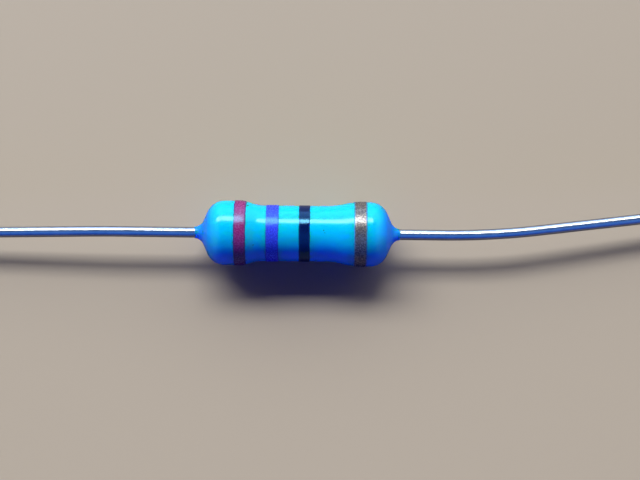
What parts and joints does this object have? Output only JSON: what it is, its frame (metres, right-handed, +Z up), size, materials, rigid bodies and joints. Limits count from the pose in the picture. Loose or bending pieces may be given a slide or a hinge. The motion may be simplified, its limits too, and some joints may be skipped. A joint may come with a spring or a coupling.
{
  "type": "axial resistor",
  "caption": "Axial film resistor: a lacquered dog-bone body with painted colour bands and a tinned wire lead at each end.",
  "frame": {"origin": "centre of the coated body, on its axis", "axes": "+X along the body from the red band to the gold band, +Z up from the surface that it lies on"},
  "size_m": [0.0628, 0.0046, 0.0024],
  "materials": {
    "coating": "gloss",
    "red_paint": "gloss",
    "violet_paint": "gloss",
    "black_paint": "gloss",
    "gold_paint": "satin",
    "tinned_wire": "polished",
    "cap_steel": "satin",
    "film": "satin",
    "ceramic": "matte"
  },
  "bodies": {
    "root": {"ceramic_core": "ceramic", "resistive_film": "film", "left_cap": "cap_steel", "right_cap": "cap_steel", "left_lead": "tinned_wire", "right_lead": "tinned_wire", "coating": "coating", "red_band": "red_paint", "violet_band": "violet_paint", "black_band": "black_paint", "gold_band": "gold_paint"}
  },
  "joints": []
}
